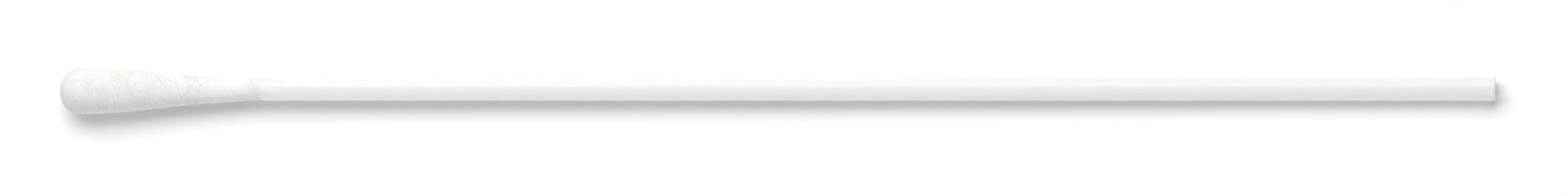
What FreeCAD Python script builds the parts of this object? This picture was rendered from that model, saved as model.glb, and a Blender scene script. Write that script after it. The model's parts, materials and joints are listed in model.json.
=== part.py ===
import FreeCAD, Part
import os
import Sketcher

# A specimen swab: a bud of wound fibre on one end of a plain plastic rod. It lies on a surface as it
# comes to rest, on the flat spot of its bud and on the lower rim of the rod's plain end.
#
# Both bodies are modelled about their own X axis, which is the rod's axis. X = 0 is the tip of the bud
# and +X runs to the plain end. One placement, shared by both, then lays the swab on Z = 0.

App = FreeCAD
doc = App.newDocument("specimen_swab")

# Driving dimensions: millimetres, and degrees for the lean of the winding
DIMENSIONS = [
    ("SwabLength", 152.4, "tip of the bud to the plain end"),
    ("ShaftDiameter", 2.5, "extruded rod"),
    ("ShaftEndRound", 0.2, "softened edge of the plain end"),
    ("WoundEndTaper", 0.15, "how far the rod draws in, all round, to its hidden end"),
    ("TipCover", 2.0, "fibre beyond the hidden end of the rod"),
    ("BudLength", 22.5, "tip of the bud to its last turn of fibre"),
    ("BudDiameter", 4.88, "at the widest turn"),
    ("NoseLength", 2.2, "tip of the bud to the widest turn"),
    ("TipHandle", 1.5, "curve handle at the tip, outwards"),
    ("ShoulderHandle", 1.3, "curve handle at the widest turn, towards the tip"),
    ("BellyHandle", 6.0, "curve handle at the widest turn, towards the tail"),
    ("TailHandle", 10.5, "curve handle at the last turn, towards the belly"),
    ("TailThickness", 0.03, "last layer of fibre on the rod"),
    ("WindingLean", 0.75, "lean of the winding to one side, about its last turn"),
    ("FlatDepth", 0.2, "flat spot that the bud rests on"),
    ("FlatDistance", 3.8, "tip of the bud to the middle of the flat spot"),
]

sheet = doc.addObject("Spreadsheet::Sheet", "Dimensions")
for row, (alias, value, note) in enumerate(DIMENSIONS, start=1):
    sheet.set(f"A{row}", alias)
    sheet.set(f"B{row}", str(value))
    sheet.set(f"C{row}", note)
    sheet.setAlias(f"B{row}", alias)
doc.recompute()

SHAFT_RADIUS = "Dimensions.ShaftDiameter / 2"
WOUND_END_RADIUS = "Dimensions.ShaftDiameter / 2 - Dimensions.WoundEndTaper"
BUD_RADIUS = "Dimensions.BudDiameter / 2"
TAIL_RADIUS = "Dimensions.ShaftDiameter / 2 + Dimensions.TailThickness"
WINDING_LEAN = "(Dimensions.WindingLean * 1 deg)"

# The surface touches the flat spot and the lower rim of the plain end. Seen from the rod's axis, these
# are the depths and distances of the two, and the tilt and height of the swab that follow from them.
FLAT_DROP = "(Dimensions.BudDiameter / 2 - Dimensions.FlatDepth)"
RIM_DISTANCE = "(Dimensions.SwabLength - Dimensions.ShaftEndRound)"
REST_TILT = f"atan(({FLAT_DROP} - {SHAFT_RADIUS}) / ({RIM_DISTANCE} - Dimensions.FlatDistance))"
REST_HEIGHT = f"{RIM_DISTANCE} * sin({REST_TILT}) + {SHAFT_RADIUS} * cos({REST_TILT})"

# The sketcher's own numbers for places in a sketch
START, END, CENTRE = 1, 2, 3
HORIZONTAL_AXIS, VERTICAL_AXIS = -1, -2
SKETCH_ORIGIN = (HORIZONTAL_AXIS, START)
ON_AXIS = "0"

CURVE_DEGREE = 3
FULL_TURN = 360

# Placements that turn about a set axis. Their angle is bound to the sheet, and a start other than zero
# keeps the axis until then.
START_ANGLE = 1
ABOUT_Y = App.Placement(App.Vector(), App.Rotation(App.Vector(0, 1, 0), START_ANGLE))
ABOUT_Z = App.Placement(App.Vector(), App.Rotation(App.Vector(0, 0, 1), START_ANGLE))


def add_body(name):
    """A body for one piece, laid on the surface with the whole swab."""
    body = doc.addObject("PartDesign::Body", name)
    body.Label = name
    body.Placement = ABOUT_Y
    body.setExpression("Placement.Rotation.Angle", REST_TILT)
    body.setExpression("Placement.Base.x", f"-Dimensions.SwabLength / 2 * cos({REST_TILT})")
    body.setExpression("Placement.Base.z", REST_HEIGHT)
    return body


def add_sketch(body, name):
    """A sketch on the body's XY plane, whose horizontal axis is the rod's axis."""
    sketch = body.newObject("Sketcher::SketchObject", name)
    plane = next(feature for feature in body.Origin.OriginFeatures if feature.Role == "XY_Plane")
    sketch.AttachmentSupport = [(plane, "")]
    sketch.MapMode = "FlatFace"
    return sketch


def vector_at(sketch, point):
    """Where a point of two expressions lies now."""
    return App.Vector(sketch.evalExpression(point[0]), sketch.evalExpression(point[1]), 0)


def hold(sketch, geometry, position, point):
    """Constrain a point of the sketch to its two expressions, along the axis and away from it."""
    target = vector_at(sketch, point)
    for kind, axis, expression, value in (
        ("DistanceX", VERTICAL_AXIS, point[0], target.x),
        ("DistanceY", HORIZONTAL_AXIS, point[1], target.y),
    ):
        if expression == ON_AXIS:
            sketch.addConstraint(Sketcher.Constraint("PointOnObject", geometry, position, axis))
            continue
        size = Sketcher.Constraint(kind, *SKETCH_ORIGIN, geometry, position, value)
        index = sketch.addConstraint(size)
        sketch.setExpression(f"Constraints[{index}]", expression)


def add_stretch(sketch, points):
    """One stretch of an outline: a straight line between two points, or a cubic curve on four."""
    vectors = [vector_at(sketch, point) for point in points]
    if len(points) == 2:
        geometry = sketch.addGeometry(Part.LineSegment(*vectors), False)
    else:
        curve = Part.BSplineCurve(vectors, None, None, False, CURVE_DEGREE, None, False)
        geometry = sketch.addGeometry(curve, False)
        sketch.exposeInternalGeometry(geometry)
        for handle, point in enumerate(points[1:-1], start=2):
            hold(sketch, geometry + handle, CENTRE, point)
    hold(sketch, geometry, START, points[0])
    return geometry


def add_outline(sketch, stretches):
    """A closed outline of stretches, each from the end of the one before it."""
    made = [add_stretch(sketch, points) for points in stretches]
    for geometry, following in zip(made, made[1:] + made[:1]):
        sketch.addConstraint(Sketcher.Constraint("Coincident", geometry, END, following, START))


def rod_outline():
    """The upper half of the rod, from the end hidden in the bud to the plain end."""
    hidden_centre = ("Dimensions.TipCover", ON_AXIS)
    hidden_edge = ("Dimensions.TipCover", WOUND_END_RADIUS)
    last_turn = ("Dimensions.BudLength", SHAFT_RADIUS)
    plain_edge = ("Dimensions.SwabLength", SHAFT_RADIUS)
    plain_centre = ("Dimensions.SwabLength", ON_AXIS)
    corners = [hidden_centre, hidden_edge, last_turn, plain_edge, plain_centre]
    return list(zip(corners, corners[1:] + corners[:1]))


def winding_outline():
    """The upper half of the bud: a blunt nose, a full belly and a long taper down to the rod."""
    tip = (ON_AXIS, ON_AXIS)
    widest_turn = ("Dimensions.NoseLength", BUD_RADIUS)
    last_turn = ("Dimensions.BudLength", TAIL_RADIUS)
    last_centre = ("Dimensions.BudLength", ON_AXIS)
    nose = [
        tip,
        (ON_AXIS, "Dimensions.TipHandle"),
        ("Dimensions.NoseLength - Dimensions.ShoulderHandle", BUD_RADIUS),
        widest_turn,
    ]
    taper = [
        widest_turn,
        ("Dimensions.NoseLength + Dimensions.BellyHandle", BUD_RADIUS),
        ("Dimensions.BudLength - Dimensions.TailHandle", TAIL_RADIUS),
        last_turn,
    ]
    return [nose, taper, [last_turn, last_centre], [last_centre, tip]]


def turn(body, kind, name, sketch):
    """Turn a sketch about the rod's axis, to add a solid or to cut one."""
    feature = body.newObject(kind, name)
    feature.Profile = sketch
    feature.ReferenceAxis = (sketch, ["H_Axis"])
    feature.Angle = FULL_TURN
    return feature


def build_shaft():
    """The plastic rod, with the edge of its plain end softened."""
    body = add_body("shaft")
    sketch = add_sketch(body, "RodOutline")
    add_outline(sketch, rod_outline())
    rod = turn(body, "PartDesign::Revolution", "Rod", sketch)
    doc.recompute()
    rim = max(range(len(rod.Shape.Edges)), key=lambda i: rod.Shape.Edges[i].BoundBox.XMin)
    edge = body.newObject("PartDesign::Fillet", "PlainEndRound")
    edge.Base = (rod, [f"Edge{rim + 1}"])
    edge.setExpression("Radius", "Dimensions.ShaftEndRound")
    return body


def build_bud():
    """The wound fibre, seated on the rod's own outline and flattened where it lies on the surface."""
    body = add_body("fibre_bud")
    outline = add_sketch(body, "WindingOutline")
    outline.AttachmentOffset = ABOUT_Z
    outline.setExpression("AttachmentOffset.Rotation.Angle", WINDING_LEAN)
    outline.setExpression("AttachmentOffset.Base.x", f"Dimensions.BudLength * (1 - cos({WINDING_LEAN}))")
    outline.setExpression("AttachmentOffset.Base.y", f"-Dimensions.BudLength * sin({WINDING_LEAN})")
    add_outline(outline, winding_outline())
    winding = turn(body, "PartDesign::Revolution", "Winding", outline)

    seat_outline = add_sketch(body, "SeatOutline")
    add_outline(seat_outline, rod_outline())
    seat = turn(body, "PartDesign::Groove", "Seat", seat_outline)

    surface = add_sketch(body, "SurfaceUnderBud")
    surface.AttachmentOffset = ABOUT_Y
    surface.setExpression("AttachmentOffset.Rotation.Angle", f"-{REST_TILT}")
    surface.setExpression("AttachmentOffset.Base.x", "Dimensions.FlatDistance")
    surface.setExpression("AttachmentOffset.Base.z", f"-{FLAT_DROP}")
    near = "-Dimensions.BudLength"
    far = "Dimensions.BudLength"
    left = "Dimensions.BudDiameter"
    right = "-Dimensions.BudDiameter"
    corners = [(near, right), (far, right), (far, left), (near, left)]
    add_outline(surface, list(zip(corners, corners[1:] + corners[:1])))
    flat = body.newObject("PartDesign::Pocket", "FlatSpot")
    flat.Profile = surface
    flat.setExpression("Length", "Dimensions.BudDiameter")
    doc.recompute()
    for name, before, after in (("Seat", winding, seat), ("FlatSpot", seat, flat)):
        if after.Shape.Volume >= before.Shape.Volume:
            raise RuntimeError(f"{name} cuts nothing from the bud")
    return body


pieces = [build_shaft(), build_bud()]
doc.recompute()

for item in doc.Objects:
    if "Invalid" in item.State or "Error" in item.State:
        raise RuntimeError(f"{item.Label} failed: {item.getStatusString()}")
for piece in pieces:
    if piece.Shape.isNull() or not piece.Shape.isValid() or len(piece.Shape.Solids) != 1:
        raise RuntimeError(f"{piece.Label} is not one valid solid")

os.makedirs("parts", exist_ok=True)
for piece in pieces:
    piece.Shape.exportStep(f"parts/{piece.Label}.step")
    print(f"{piece.Label}: {piece.Shape.Volume:.2f} mm3")
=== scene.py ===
import json
import math
import random

import bmesh
import bpy
from mathutils import Matrix, Quaternion, Vector, geometry, noise
from mathutils.bvhtree import BVHTree


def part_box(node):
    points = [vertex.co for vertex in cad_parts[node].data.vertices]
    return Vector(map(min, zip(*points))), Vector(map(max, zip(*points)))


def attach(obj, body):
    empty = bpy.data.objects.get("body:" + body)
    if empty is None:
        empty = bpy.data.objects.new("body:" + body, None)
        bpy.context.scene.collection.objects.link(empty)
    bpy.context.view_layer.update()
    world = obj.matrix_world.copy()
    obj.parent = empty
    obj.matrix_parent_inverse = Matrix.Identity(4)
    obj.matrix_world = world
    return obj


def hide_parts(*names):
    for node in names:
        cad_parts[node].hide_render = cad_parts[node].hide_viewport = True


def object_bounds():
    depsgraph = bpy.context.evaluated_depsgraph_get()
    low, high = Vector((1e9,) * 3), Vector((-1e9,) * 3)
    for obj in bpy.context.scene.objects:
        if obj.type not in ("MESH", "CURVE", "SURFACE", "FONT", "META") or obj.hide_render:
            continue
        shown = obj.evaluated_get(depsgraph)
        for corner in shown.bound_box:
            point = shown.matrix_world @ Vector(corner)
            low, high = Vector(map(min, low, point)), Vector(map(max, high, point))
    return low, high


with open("model.json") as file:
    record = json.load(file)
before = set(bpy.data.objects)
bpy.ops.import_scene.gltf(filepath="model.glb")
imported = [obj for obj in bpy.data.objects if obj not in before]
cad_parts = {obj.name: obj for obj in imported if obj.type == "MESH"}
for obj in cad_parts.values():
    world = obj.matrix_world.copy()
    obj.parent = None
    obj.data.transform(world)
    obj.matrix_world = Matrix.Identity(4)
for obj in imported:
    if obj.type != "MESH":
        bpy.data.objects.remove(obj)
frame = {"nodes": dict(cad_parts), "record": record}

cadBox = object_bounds()
mm = 0.001
floorSoftness = 0.06 * mm

# where the part lies, read from its own mounts: the rod's line, and the bud's tip on it
mounts = {mount["name"]: mount for mount in frame["record"]["mounts"]}
plainEnd = Vector(mounts["plain_end"]["pos_m"])
alongRod = Vector(mounts["plain_end"]["axis"]).normalized()
rodRadius = mounts["bare_shaft"]["dims"]["r_mm"] * mm
budLow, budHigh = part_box("fibre_bud")
budTip = plainEnd - alongRod * ((plainEnd.x - budLow.x) / alongRod.x)
ontoRod = Matrix.Translation(budTip) @ alongRod.to_track_quat("X", "Z").to_matrix().to_4x4()


def smoothStep(value, start, end):
    t = min(max((value - start) / (end - start), 0.0), 1.0)
    return t * t * (3 - 2 * t)


def restOnFloor(place, gap):  # presses what lies low flat on the floor, with a soft edge
    low = place.z - gap
    if low < floorSoftness:
        place.z = gap + floorSoftness * math.exp((low - floorSoftness) / floorSoftness)


# the wound bud: a shell of packed cotton turned about the rod's line
looseCover = 0.03 * mm  # left free for the loose fibres that lie on top
budShape = {
    "length": budHigh.x - budLow.x,
    "bellyRadius": (budHigh.y - budLow.y) / 2 - looseCover,
    "noseLength": 2.2 * mm,
    "tipHandle": 1.5 * mm,
    "shoulderHandle": 1.3 * mm,
    "bellyHandle": 6.0 * mm,
    "tailHandle": 10.5 * mm,
    "tailThickness": 0.03 * mm,
    "filmThickness": 0.008 * mm,  # the least fibre left on the rod before the shell sinks away
    "sinkStart": 6.5 * mm,  # from here to the last turn the shell thins out into the rod
    "sinkDepth": 0.085 * mm,
    "leanDegrees": 0.75,
    "rodCover": 2.0 * mm,  # fibre past the rod's own end
    "noseRings": 26,
    "taperRings": 210,
    "roundSteps": 208,
    "windingPitch": 7.1 * mm,
    "softLumps": 0.065 * mm,
    "softLumpSize": 3.4 * mm,
    "smallLumps": 0.024 * mm,
    "smallLumpSize": 1.1 * mm,
    "windingRidge": 0.014 * mm,
    "windingRidgeSize": 0.42 * mm,
    "windingRidgeDrawnOut": 0.12,  # less makes longer ridges
    "noiseShift": (3.1, 7.7, 1.9),
    "calmLength": 6.0 * mm,  # over this length the lumps die down towards the last turn
    "calming": 0.7,  # the share of them that is gone there
    "mergeDistance": 0.002 * mm,
}


def untwist(place):  # turns the winding out, so that a wound fibre would run straight along X
    return Matrix.Rotation(-2 * math.pi * place.x / budShape["windingPitch"], 3, "X") @ place


def budRelief(place):
    shift = Vector(budShape["noiseShift"])
    soft = noise.noise(place / budShape["softLumpSize"] + shift)
    small = noise.noise(place / budShape["smallLumpSize"] + shift)
    straight = untwist(place)
    straight.x *= budShape["windingRidgeDrawnOut"]
    ridge = noise.noise(straight / budShape["windingRidgeSize"] + shift)
    return (budShape["softLumps"] * soft + budShape["smallLumps"] * small
            + budShape["windingRidge"] * ridge)


def makeBudShell():
    length, shoulder, belly = budShape["length"], budShape["noseLength"], budShape["bellyRadius"]
    tail = rodRadius + budShape["tailThickness"]
    nose = geometry.interpolate_bezier(
        Vector((0, 0)), Vector((0, budShape["tipHandle"])),
        Vector((shoulder - budShape["shoulderHandle"], belly)), Vector((shoulder, belly)),
        budShape["noseRings"])
    taper = geometry.interpolate_bezier(
        Vector((shoulder, belly)), Vector((shoulder + budShape["bellyHandle"], belly)),
        Vector((length - budShape["tailHandle"], tail)), Vector((length, tail)),
        budShape["taperRings"])

    bm = bmesh.new()
    line = [bm.verts.new((point.x, 0, point.y)) for point in nose + taper[1:]]
    edges = [bm.edges.new(pair) for pair in zip(line, line[1:])]
    bmesh.ops.spin(bm, geom=line + edges, cent=(0, 0, 0), axis=(1, 0, 0), angle=2 * math.pi,
                   steps=budShape["roundSteps"], use_merge=True)
    bmesh.ops.remove_doubles(bm, verts=bm.verts, dist=budShape["mergeDistance"])
    bmesh.ops.recalc_face_normals(bm, faces=bm.faces)
    bm.normal_update()

    # lumps and winding, the lean about the last turn, and a tail that sinks away into the rod
    lean = Matrix.Rotation(math.radians(budShape["leanDegrees"]), 3, "Z")
    pivot = Vector((length, 0, 0))
    for vert in bm.verts:
        relief = budRelief(vert.co)
        nearTail = smoothStep(vert.co.x, length - budShape["calmLength"], length)
        vert.co += vert.normal * relief * (1 - budShape["calming"] * nearTail)
        vert.co = pivot + lean @ (vert.co - pivot)
        fromAxis = math.hypot(vert.co.y, vert.co.z)
        if vert.co.x > shoulder:
            sunk = budShape["sinkDepth"] * smoothStep(
                vert.co.x, length - budShape["sinkStart"], length)
            outer = max(fromAxis, rodRadius + budShape["filmThickness"]) - sunk
            vert.co.y *= outer / fromAxis
            vert.co.z *= outer / fromAxis

    # the tail's rim runs back inside the rod's skin, past the rod's own end, and is closed there
    rim = [edge for edge in bm.edges if edge.is_boundary]
    inside = bmesh.ops.extrude_edge_only(bm, edges=rim)["geom"]
    for vert in (item for item in inside if isinstance(item, bmesh.types.BMVert)):
        vert.co.x = budShape["rodCover"]
    bmesh.ops.holes_fill(bm, edges=[item for item in inside if isinstance(item, bmesh.types.BMEdge)])
    bmesh.ops.recalc_face_normals(bm, faces=bm.faces)

    bmesh.ops.transform(bm, matrix=ontoRod, verts=bm.verts)
    for vert in bm.verts:
        restOnFloor(vert.co, 0)
    return bm


def putInScene(name, bm, material):
    mesh = bpy.data.meshes.new(name)
    bm.to_mesh(mesh)
    bm.free()
    mesh.shade_smooth()
    mesh.materials.append(material)
    piece = bpy.data.objects.new(name, mesh)
    bpy.context.scene.collection.objects.link(piece)
    return piece


# fibres on the bud: each kind is one piece, laid out as a row and then led over the bud
fibreKinds = {  # slope in degrees from straight round the bud, wander in degrees a step, painted shading towards the tail: where the fibres lie pressed their tone is darkened as painted shade, and a negative value makes it paler as painted light
    "wound_fibres_1": {"doublings": 11, "thickness": 0.023 * mm, "stride": 0.40 * mm, "seed": 11,
                       "slope": 20, "slopeSpread": 18, "lift": 0.005 * mm, "wander": 1.4,
                       "span": (-0.14, 0.80), "tones": (0.35, 0.85), "paintedShadingTowardsTail": 0.9},
    "wound_fibres_2": {"doublings": 11, "thickness": 0.022 * mm, "stride": 0.39 * mm, "seed": 12,
                       "slope": 24, "slopeSpread": 20, "lift": 0.008 * mm, "wander": 1.6,
                       "span": (-0.14, 0.80), "tones": (0.35, 0.85), "paintedShadingTowardsTail": 0.9},
    "wound_fibres_3": {"doublings": 11, "thickness": 0.021 * mm, "stride": 0.38 * mm, "seed": 13,
                       "slope": 26, "slopeSpread": 26, "lift": 0.010 * mm, "wander": 2.0,
                       "span": (-0.16, 0.78), "tones": (0.35, 0.85), "paintedShadingTowardsTail": 0.9},
    "crossing_fibres": {"doublings": 10, "thickness": 0.016 * mm, "stride": 0.30 * mm, "seed": 14,
                        "slope": -20, "slopeSpread": 12, "lift": 0.006 * mm, "wander": 2.5,
                        "span": (-0.12, 0.76), "tones": (0.35, 0.85), "paintedShadingTowardsTail": 0.9},
    "tail_fibres": {"doublings": 10, "thickness": 0.017 * mm, "stride": 0.22 * mm, "seed": 15,
                    "slope": 20, "slopeSpread": 9, "lift": 0.003 * mm, "wander": 1.5,
                    "span": (0.70, 0.86), "tones": (0.5, 0.76), "paintedShadingTowardsTail": -0.3},
    "stray_fibres": {"doublings": 8, "thickness": 0.013 * mm, "stride": 0.22 * mm, "seed": 16,
                     "slope": 35, "slopeSpread": 45, "lift": 0.18 * mm, "wander": 12.0,
                     "span": (-0.05, 0.80), "tones": (0.35, 0.85), "paintedShadingTowardsTail": 0.5},
}
fibreRings = 15
fibreSpacing = 4.0  # between the fibres while they lie side by side, in their own half thicknesses
fibreHabits = {  # shared by all kinds
    "raggedEdge": 0.07,  # how far the two edges of a span shift, in lengths of the bud
    "tipZone": 0.5 * mm,  # fibres that start this near the tip start anywhere on it
    "startOut": (0.2, 1.1),  # in belly radii
    "tangledZone": 1.6 * mm,  # fibres that start this near the tip lie any way round
    "leastLift": 0.3,  # in thicknesses
    "bedHeight": 0.1,  # of every fibre, in thicknesses
    "strideSpread": (0.7, 1.3),
    "jitter": 2,  # in degrees a step
    "freeEndLift": 0.1 * mm,  # a kind that lifts more than this has fibres with a free end
    "freeEndShare": 0.5,
    "pressedFrom": 0.57,  # from here to pressedTo the fibres lie closer and closer, in bud lengths
    "pressedTo": 0.88,
    "pressing": 0.9,
    "endThickness": 0.35,
    "floorGap": 0.2,  # in thicknesses
}


def makeFibreRow(doublings):  # fibres side by side along Z, each straight along X from 0 to 1
    bm = bmesh.new()
    lying = Matrix.Translation((0.5, 0, 0)) @ Matrix.Rotation(math.pi / 2, 4, "Y")
    bmesh.ops.create_cone(bm, cap_ends=True, segments=3, radius1=1, radius2=1, depth=1,
                          matrix=lying)
    longEdges = [edge for edge in bm.edges
                 if abs(edge.verts[0].co.x - edge.verts[1].co.x) > 0.5]
    bmesh.ops.subdivide_edges(bm, edges=longEdges, cuts=fibreRings - 2, use_grid_fill=True)
    for doubling in range(doublings):
        copied = bmesh.ops.duplicate(bm, geom=bm.verts[:] + bm.edges[:] + bm.faces[:])["geom"]
        verts = [item for item in copied if isinstance(item, bmesh.types.BMVert)]
        bmesh.ops.translate(bm, verts=verts, vec=(0, 0, fibreSpacing * 2 ** doubling))
    return bm


def walkOverBud(surface, kind, dice):  # one fibre's way: its places, headings, outward ways and tones
    length, thickness = budShape["length"], kind["thickness"]
    ragged = fibreHabits["raggedEdge"]
    start, end = (edge + dice.uniform(-ragged, ragged) for edge in kind["span"])
    along = dice.uniform(start, end) * length
    angle = dice.uniform(0, 2 * math.pi)
    out = fibreHabits["startOut"][1]
    if along < fibreHabits["tipZone"]:
        out = dice.uniform(*fibreHabits["startOut"])
    radial = Vector((0, math.cos(angle), math.sin(angle)))
    place = ontoRod @ (Vector((along, 0, 0)) + radial * out * budShape["bellyRadius"])
    place, outward, _, _ = surface.find_nearest(place)
    axis = ontoRod.to_3x3() @ Vector((1, 0, 0))
    slope = math.radians(dice.gauss(kind["slope"], kind["slopeSpread"]))
    if along < fibreHabits["tangledZone"]:
        slope = dice.uniform(-math.pi, math.pi)
    heading = Quaternion(outward, slope) @ axis.cross(outward).normalized()
    bend = math.radians(dice.gauss(0, kind["wander"]))
    lift = abs(dice.gauss(0, kind["lift"])) + fibreHabits["leastLift"] * thickness
    freeEnd = dice.random() < fibreHabits["freeEndShare"] and kind["lift"] > fibreHabits["freeEndLift"]
    stride = kind["stride"] * dice.uniform(*fibreHabits["strideSpread"])
    tone = dice.uniform(*kind["tones"])
    steps = []
    for ring in range(fibreRings):
        place, outward, _, _ = surface.find_nearest(place)
        heading = (heading - outward * heading.dot(outward)).normalized()
        t = ring / (fibreRings - 1)
        rise = t * t if freeEnd else math.sin(math.pi * t)
        pressed = smoothStep((ontoRod.inverted() @ place).x, fibreHabits["pressedFrom"] * length,
                             fibreHabits["pressedTo"] * length)
        height = (lift * rise * (1 - fibreHabits["pressing"] * pressed)
                  + fibreHabits["bedHeight"] * thickness)
        # the fibre's random tone, with painted shade where it lies pressed towards the tail (painted
        # light for a kind whose value is negative)
        steps.append((place + outward * height, heading, outward,
                      tone * (1 - kind["paintedShadingTowardsTail"] * pressed)))
        turn = bend + math.radians(dice.gauss(0, fibreHabits["jitter"]))
        heading = Quaternion(outward, turn) @ heading
        place = place + heading * stride
    return steps


def makeFibres(name, kind, surface, material):
    dice = random.Random(kind["seed"])
    bm = makeFibreRow(kind["doublings"])
    tone = bm.verts.layers.float.new("tone")
    ways = [walkOverBud(surface, kind, dice) for fibre in range(2 ** kind["doublings"])]
    for vert in bm.verts:
        number = round(vert.co.z / fibreSpacing)
        ring = round(vert.co.x * (fibreRings - 1))
        place, heading, outward, toneWithPaintedShading = ways[number][ring]
        ending = fibreHabits["endThickness"] if ring in (0, fibreRings - 1) else 1.0
        half = 0.5 * kind["thickness"] * ending
        sideways = heading.cross(outward)
        across = vert.co.z - number * fibreSpacing
        vert.co = place + outward * (vert.co.y * half) + sideways * (across * half)
        restOnFloor(vert.co, fibreHabits["floorGap"] * kind["thickness"])
        # the random tone with its painted shade and painted light towards the tail
        vert[tone] = toneWithPaintedShading
    bmesh.ops.recalc_face_normals(bm, faces=bm.faces)
    return putInScene(name, bm, material)


def newMaterial(name):
    material = bpy.data.materials.new(name)
    material.use_nodes = True
    tree = material.node_tree
    return material, tree.nodes, tree.links, tree.nodes["Principled BSDF"]


def onRodAxis(nodes, links, scale):  # places about the rod's line, counted from the bud's tip
    place = nodes.new("ShaderNodeTexCoord")
    onAxis = nodes.new("ShaderNodeMapping")
    onAxis.vector_type = "TEXTURE"
    onAxis.inputs["Location"].default_value = budTip
    onAxis.inputs["Rotation"].default_value = ontoRod.to_euler()
    onAxis.inputs["Scale"].default_value = scale
    links.new(place.outputs["Object"], onAxis.inputs["Vector"])
    apart = nodes.new("ShaderNodeSeparateXYZ")
    links.new(onAxis.outputs["Vector"], apart.inputs["Vector"])
    return onAxis.outputs["Vector"], apart.outputs["X"]


def noiseNode(nodes, links, vector, look):
    node = nodes.new("ShaderNodeTexNoise")
    for socket, value in look.items():
        node.inputs[socket].default_value = value
    links.new(vector, node.inputs["Vector"])
    return node.outputs["Fac"]


def bumps(nodes, links, height, look, shader):
    relief = nodes.new("ShaderNodeBump")
    relief.inputs["Strength"].default_value = look["reliefStrength"]
    relief.inputs["Distance"].default_value = look["reliefDistance"]
    links.new(height, relief.inputs["Height"])
    links.new(relief.outputs["Normal"], shader.inputs["Normal"])


def setSurface(shader, values):
    for socket, value in values.items():
        shader.inputs[socket].default_value = value


def ramp(nodes, stops):
    node = nodes.new("ShaderNodeValToRGB")
    node.color_ramp.elements[0].position = stops[0][0]
    node.color_ramp.elements[0].color = (*stops[0][1], 1)
    node.color_ramp.elements[1].position = stops[-1][0]
    node.color_ramp.elements[1].color = (*stops[-1][1], 1)
    for position, colour in stops[1:-1]:
        node.color_ramp.elements.new(position).color = (*colour, 1)
    return node


cottonLook = {
    "packed": [(0.30, (0.76, 0.764, 0.738)), (0.5, (0.79, 0.793, 0.77)),
               (0.68, (0.815, 0.817, 0.798))],
    # tones below 0.35 and above 0.85 come only from the painted shade and painted light towards the
    # tail
    "loose": [(0.0, (0.78, 0.783, 0.763)), (0.35, (0.858, 0.86, 0.836)),
              (0.85, (0.90, 0.90, 0.882)), (1.0, (0.95, 0.95, 0.935))],
    "streaks": {"Scale": 6.0, "Detail": 5, "Roughness": 0.62},  # scales are per mm
    "streaksDrawnOut": 0.1,  # less makes longer streaks
    "clouds": {"Scale": 0.8, "Detail": 3},
    "cloudShare": 0.45,
    "reliefStrength": 0.45,
    "reliefDistance": 0.03 * mm,
    "packedSurface": {"Roughness": 0.9, "Specular IOR Level": 0.25, "Sheen Weight": 0.12,
                      "Sheen Roughness": 0.45, "Subsurface Weight": 0.2,
                      "Subsurface Radius": (1.0, 0.98, 0.9), "Subsurface Scale": 0.3 * mm},
    "looseSurface": {"Roughness": 0.55, "Specular IOR Level": 0.35},
}


def woundCotton():
    material, nodes, links, shader = newMaterial("wound_cotton")
    place, along = onRodAxis(nodes, links, (mm, mm, mm))

    # the winding is turned out, so that the streaks run along the wound fibres
    turnBack = nodes.new("ShaderNodeMath")
    turnBack.operation = "MULTIPLY"
    turnBack.inputs[1].default_value = -2 * math.pi * mm / budShape["windingPitch"]
    links.new(along, turnBack.inputs[0])
    straight = nodes.new("ShaderNodeVectorRotate")
    straight.rotation_type = "X_AXIS"
    links.new(place, straight.inputs["Vector"])
    links.new(turnBack.outputs["Value"], straight.inputs["Angle"])
    drawnOut = nodes.new("ShaderNodeMapping")
    drawnOut.inputs["Scale"].default_value = (cottonLook["streaksDrawnOut"], 1, 1)
    links.new(straight.outputs["Vector"], drawnOut.inputs["Vector"])

    streaks = noiseNode(nodes, links, drawnOut.outputs["Vector"], cottonLook["streaks"])
    clouds = noiseNode(nodes, links, place, cottonLook["clouds"])
    both = nodes.new("ShaderNodeMix")
    both.inputs["Factor"].default_value = cottonLook["cloudShare"]
    links.new(streaks, both.inputs["A"])
    links.new(clouds, both.inputs["B"])
    colours = ramp(nodes, cottonLook["packed"])
    links.new(both.outputs["Result"], colours.inputs["Fac"])
    links.new(colours.outputs["Color"], shader.inputs["Base Color"])
    bumps(nodes, links, streaks, cottonLook, shader)
    setSurface(shader, cottonLook["packedSurface"])
    return material


def looseFibre():
    material, nodes, links, shader = newMaterial("loose_fibre")
    # the tone attribute holds each fibre's random tone with painted shade and painted light towards
    # the tail
    tone = nodes.new("ShaderNodeAttribute")
    tone.attribute_name = "tone"
    colours = ramp(nodes, cottonLook["loose"])
    links.new(tone.outputs["Fac"], colours.inputs["Fac"])
    links.new(colours.outputs["Color"], shader.inputs["Base Color"])
    setSurface(shader, cottonLook["looseSurface"])
    return material


rodLook = {
    "colours": [(0.35, (0.759, 0.764, 0.752)), (0.65, (0.788, 0.792, 0.783)),
                (1.0, (0.83, 0.834, 0.825))],
    "drawLines": {"Scale": 5, "Detail": 4},
    "drawnOut": 12,  # the draw lines' length, in widths
    "paintedLightFrom": 20.0,  # in mm from the bud's tip: up to here the painted light beside the bud counts in full
    "paintedLightTo": 24.0,  # and from here on not at all
    "paintedLightAmount": 0.5,  # painted light: the rod's colour is made paler beside the bud, to make up for the light that the fibre keeps out of the rod there
    "leastRoughness": 0.36,
    "mostRoughness": 0.5,
    "reliefStrength": 0.25,
    "reliefDistance": 0.01 * mm,
    "surface": {"Specular IOR Level": 0.3, "Subsurface Weight": 0.45,
                "Subsurface Radius": (1.0, 1.0, 0.94), "Subsurface Scale": 1.3 * mm},
}


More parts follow.
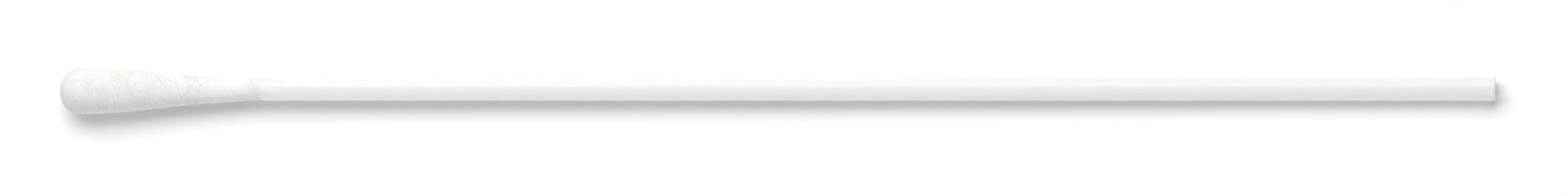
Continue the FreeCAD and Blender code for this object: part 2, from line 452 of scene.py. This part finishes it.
def whitePlastic():
    material, nodes, links, shader = newMaterial("white_plastic")
    place, along = onRodAxis(nodes, links, (rodLook["drawnOut"] * mm, mm, mm))
    drawLines = noiseNode(nodes, links, place, rodLook["drawLines"])

    # painted light: beside the bud the rod's colour is shifted paler, standing in for the light that
    # the fibre keeps out of the rod there
    paintedLightNearBud = nodes.new("ShaderNodeMapRange")
    paintedLightNearBud.interpolation_type = "SMOOTHSTEP"
    paintedLightNearBud.inputs["From Min"].default_value = rodLook["paintedLightFrom"] / rodLook["drawnOut"]
    paintedLightNearBud.inputs["From Max"].default_value = rodLook["paintedLightTo"] / rodLook["drawnOut"]
    paintedLightNearBud.inputs["To Min"].default_value = rodLook["paintedLightAmount"]
    paintedLightNearBud.inputs["To Max"].default_value = 0
    links.new(along, paintedLightNearBud.inputs["Value"])
    drawLinesAndPaintedLight = nodes.new("ShaderNodeMath")
    links.new(drawLines, drawLinesAndPaintedLight.inputs[0])
    links.new(paintedLightNearBud.outputs["Result"], drawLinesAndPaintedLight.inputs[1])
    colours = ramp(nodes, rodLook["colours"])
    links.new(drawLinesAndPaintedLight.outputs["Value"], colours.inputs["Fac"])
    links.new(colours.outputs["Color"], shader.inputs["Base Color"])

    gloss = nodes.new("ShaderNodeMapRange")
    gloss.inputs["To Min"].default_value = rodLook["leastRoughness"]
    gloss.inputs["To Max"].default_value = rodLook["mostRoughness"]
    links.new(drawLines, gloss.inputs["Value"])
    links.new(gloss.outputs["Result"], shader.inputs["Roughness"])
    bumps(nodes, links, drawLines, rodLook, shader)
    setSurface(shader, rodLook["surface"])
    return material


shell = makeBudShell()
cotton = woundCotton()
guide = shell.copy()
guide.from_mesh(frame["nodes"]["shaft"].data)
surface = BVHTree.FromBMesh(guide)
guide.free()
bud = putInScene("wound_bud", shell, cotton)
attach(bud, "root")
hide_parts("fibre_bud")
print("bud wound:", len(bud.data.polygons), "faces")

fibreLook = looseFibre()
for name, kind in fibreKinds.items():
    fibres = makeFibres(name, kind, surface, fibreLook)
    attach(fibres, "root")
    print(name, "laid:", len(fibres.data.polygons), "faces")

shaft = frame["nodes"]["shaft"]
shaft.material_slots[0].material = whitePlastic()
print("shaft finished")

studio = {
    "floorSize": 4.0,
    "floorSquares": 8,
    "floorDrop": 0.01 * mm,
    "floorSurface": {"Base Color": (0.98, 0.98, 0.98, 1), "Roughness": 0.9,
                     "Specular IOR Level": 0.1},
    "skyColour": (1.0, 1.0, 0.99, 1),
    "skyStrength": 0.1,
}
lights = {  # tilt in degrees from straight overhead towards +Y, turn in degrees towards the bud's end
    "key": {"tilt": 37.5, "turn": 22, "distance": 0.9, "size": (0.99, 0.62), "power": 10.0},
    "front": {"tilt": -30, "turn": 0, "distance": 0.9, "size": (0.99, 0.6), "power": 1.9},
    "low": {"tilt": -84, "turn": 0, "distance": 0.6, "size": (0.9, 0.12), "power": 1.85},
}


def makeFloor():
    bm = bmesh.new()
    squares = studio["floorSquares"]
    bmesh.ops.create_grid(bm, x_segments=squares, y_segments=squares, size=studio["floorSize"] / 2,
                          matrix=Matrix.Translation((0, 0, -studio["floorDrop"])))
    material, nodes, links, shader = newMaterial("pale_floor")
    setSurface(shader, studio["floorSurface"])
    return putInScene("floor", bm, material)


def makeLight(name, look):
    data = bpy.data.lights.new(name, "AREA")
    data.shape = "RECTANGLE"
    data.size, data.size_y = look["size"]
    data.energy = look["power"]
    light = bpy.data.objects.new(name, data)
    tilt, turn = math.radians(look["tilt"]), math.radians(look["turn"])
    towards = Vector((-math.sin(tilt) * math.sin(turn), math.sin(tilt) * math.cos(turn),
                      math.cos(tilt)))
    light.location = towards * look["distance"]
    light.rotation_euler = towards.to_track_quat("Z", "Y").to_euler()
    bpy.context.scene.collection.objects.link(light)


def makeSky():
    world = bpy.data.worlds.new("studio")
    world.use_nodes = True
    background = world.node_tree.nodes["Background"]
    background.inputs["Color"].default_value = studio["skyColour"]
    background.inputs["Strength"].default_value = studio["skyStrength"]
    bpy.context.scene.world = world


framing = {  # in lengths of the swab, but for the height
    "width": 1.0923,
    "toPlainEnd": 0.0042,
    "towardsFront": 0.0047,
    "height": 0.5,
}


def makeCamera():  # looks straight down
    low, high = cadBox
    swabLength = high.x - low.x
    data = bpy.data.cameras.new("camera")
    data.type = "ORTHO"
    data.ortho_scale = swabLength * framing["width"]
    camera = bpy.data.objects.new("camera", data)
    centre = (low + high) / 2
    camera.location = (centre.x + framing["toPlainEnd"] * swabLength,
                       centre.y - framing["towardsFront"] * swabLength, framing["height"])
    bpy.context.scene.collection.objects.link(camera)
    bpy.context.scene.camera = camera


makeFloor()
for name, look in lights.items():
    makeLight(name, look)
makeSky()
makeCamera()
bpy.context.scene.view_settings.view_transform = "Standard"
print("studio set")
